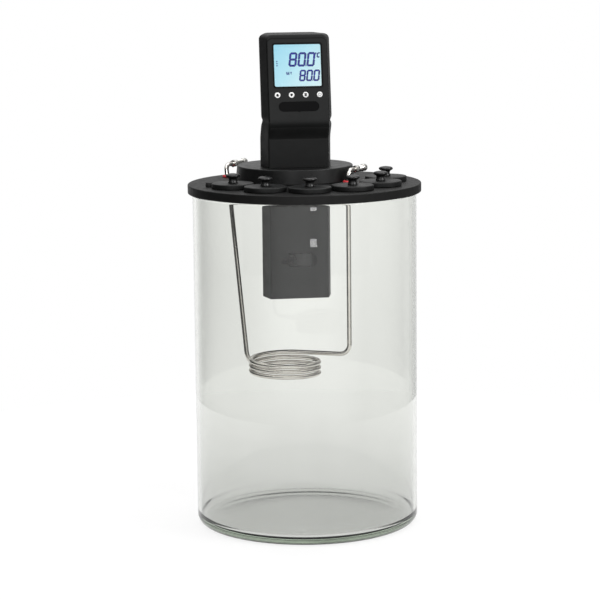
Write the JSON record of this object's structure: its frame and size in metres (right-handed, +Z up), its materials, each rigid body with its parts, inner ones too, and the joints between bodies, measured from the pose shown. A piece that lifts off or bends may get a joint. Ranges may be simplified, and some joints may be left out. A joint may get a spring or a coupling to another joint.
{
  "type": "glass jar temperature bath",
  "caption": "Clear glass cylinder bath with a black cover, capped ports, a cooling coil and a digital immersion circulator in a round collar.",
  "frame": {"origin": "centre of the jar's underside", "axes": "+Z up, the circulator's display faces -Y, +X to the right of someone facing it"},
  "size_m": [0.3174, 0.3174, 0.6692],
  "materials": {
    "clear_glass": "clear, polished, faint green in the thick edges",
    "cover_plastic": "black, fine turned grain",
    "collar_plastic": "black, fine turned grain",
    "lid_plastic": "black, satin",
    "knob_plastic": "black, moulded, half gloss",
    "stopper_rubber": "black, matt",
    "stainless_tube": "polished stainless",
    "plated_fitting": "bright nickel plate",
    "red_silicone": "red silicone",
    "head_plastic": "charcoal, fine moulded texture",
    "shroud_plastic": "dark grey, satin",
    "display_window": "clear hard plastic",
    "display_panel": "lit light blue liquid crystal display with dark blue digits",
    "badge": "blank black oval",
    "button_caps": "white with dark symbols",
    "circuit_board": "green solder mask",
    "motor_case": "grey paint",
    "pump_plastic": "black, satin",
    "float_foam": "closed foam",
    "inlet_plastic": "black",
    "screw_steel": "dark steel",
    "chassis_plate": "mill finish"
  },
  "bodies": {
    "jar": {"glass_jar": "clear_glass"},
    "cover": {"cover_plate": "cover_plastic", "cooling_coil": "stainless_tube", "tube_grommet_left": "red_silicone", "tube_grommet_right": "red_silicone", "tube_nut_left": "plated_fitting", "tube_nut_right": "plated_fitting", "hose_connector_left": "plated_fitting", "hose_connector_right": "plated_fitting"},
    "collar": {"mounting_collar": "collar_plastic"},
    "circulator": {"head_front_shell": "head_plastic", "head_rear_shell": "head_plastic", "faceplate": "head_plastic", "badge_plate": "badge", "display_window": "display_window", "lcd_panel": "display_panel", "control_board": "circuit_board", "chassis_plate": "chassis_plate", "motor": "motor_case", "shaft_tube": "stainless_tube", "pump_housing": "pump_plastic", "pump_shroud": "shroud_plastic", "shroud_base": "shroud_plastic", "heater_element": "stainless_tube", "temperature_probe": "stainless_tube", "float_stem": "stainless_tube", "power_inlet": "inlet_plastic", "head_screw_1": "screw_steel", "head_screw_2": "screw_steel", "head_screw_3": "screw_steel", "head_screw_4": "screw_steel"},
    "rotor": {"drive_shaft": "stainless_tube", "impeller": "pump_plastic", "cooling_fan": "pump_plastic"},
    "nozzle": {"outlet_nozzle": "pump_plastic"},
    "float": {"level_float": "float_foam"},
    "thermometer_stopper": {"thermometer_plug": "stopper_rubber"},
    "port_1": {"port_cover_1": "lid_plastic", "port_knob_1": "knob_plastic"},
    "port_2": {"port_cover_2": "lid_plastic", "port_knob_2": "knob_plastic"},
    "port_3": {"port_cover_3": "lid_plastic", "port_knob_3": "knob_plastic"},
    "port_4": {"port_cover_4": "lid_plastic", "port_knob_4": "knob_plastic"},
    "port_5": {"port_cover_5": "lid_plastic", "port_knob_5": "knob_plastic"},
    "port_6": {"port_cover_6": "lid_plastic", "port_knob_6": "knob_plastic"},
    "down_key": {"button_down": "button_caps"},
    "up_key": {"button_up": "button_caps"},
    "menu_key": {"button_menu": "button_caps"},
    "power_key": {"button_power": "button_caps"}
  },
  "joints": [
    {"name": "cover_lift", "type": "slide", "parent": "jar", "child": "cover", "axis": [0, 0, 1], "range_m": [0, 0.26]},
    {"name": "collar_turn", "type": "hinge", "parent": "cover", "child": "collar", "pos_m": [-0.00583, 0.04885, 0.47], "axis": [0, 0, 1], "range_deg": [-90, 90]},
    {"name": "circulator_lift", "type": "slide", "parent": "collar", "child": "circulator", "axis": [0, 0, 1], "range_m": [0, 0.2]},
    {"name": "rotor_spin", "type": "hinge", "parent": "circulator", "child": "rotor", "pos_m": [-0.00713, 0.04885, 0.47], "axis": [0, 0, 1], "continuous": true},
    {"name": "nozzle_swivel", "type": "hinge", "parent": "circulator", "child": "nozzle", "pos_m": [0.00287, 0.02885, 0.363], "axis": [0, 0, 1], "range_deg": [-25, 60]},
    {"name": "float_rise", "type": "slide", "parent": "circulator", "child": "float", "axis": [0, 0, 1], "range_m": [0, 0.012]},
    {"name": "stopper_lift", "type": "slide", "parent": "cover", "child": "thermometer_stopper", "axis": [0, 0, 1], "range_m": [0, 0.03]},
    {"name": "port_lift_1", "type": "slide", "parent": "cover", "child": "port_1", "axis": [0, 0, 1], "range_m": [0, 0.03]},
    {"name": "port_lift_2", "type": "slide", "parent": "cover", "child": "port_2", "axis": [0, 0, 1], "range_m": [0, 0.03]},
    {"name": "port_lift_3", "type": "slide", "parent": "cover", "child": "port_3", "axis": [0, 0, 1], "range_m": [0, 0.03]},
    {"name": "port_lift_4", "type": "slide", "parent": "cover", "child": "port_4", "axis": [0, 0, 1], "range_m": [0, 0.03]},
    {"name": "port_lift_5", "type": "slide", "parent": "cover", "child": "port_5", "axis": [0, 0, 1], "range_m": [0, 0.03]},
    {"name": "port_lift_6", "type": "slide", "parent": "cover", "child": "port_6", "axis": [0, 0, 1], "range_m": [0, 0.03]},
    {"name": "down_press", "type": "slide", "parent": "circulator", "child": "down_key", "axis": [0, 0.986, -0.1668], "range_m": [0, 0.0008], "stiffness_N_per_m": 300},
    {"name": "up_press", "type": "slide", "parent": "circulator", "child": "up_key", "axis": [0, 0.986, -0.1668], "range_m": [0, 0.0008], "stiffness_N_per_m": 300},
    {"name": "menu_press", "type": "slide", "parent": "circulator", "child": "menu_key", "axis": [0, 0.986, -0.1668], "range_m": [0, 0.0008], "stiffness_N_per_m": 300},
    {"name": "power_press", "type": "slide", "parent": "circulator", "child": "power_key", "axis": [0, 0.986, -0.1668], "range_m": [0, 0.0008], "stiffness_N_per_m": 300}
  ]
}
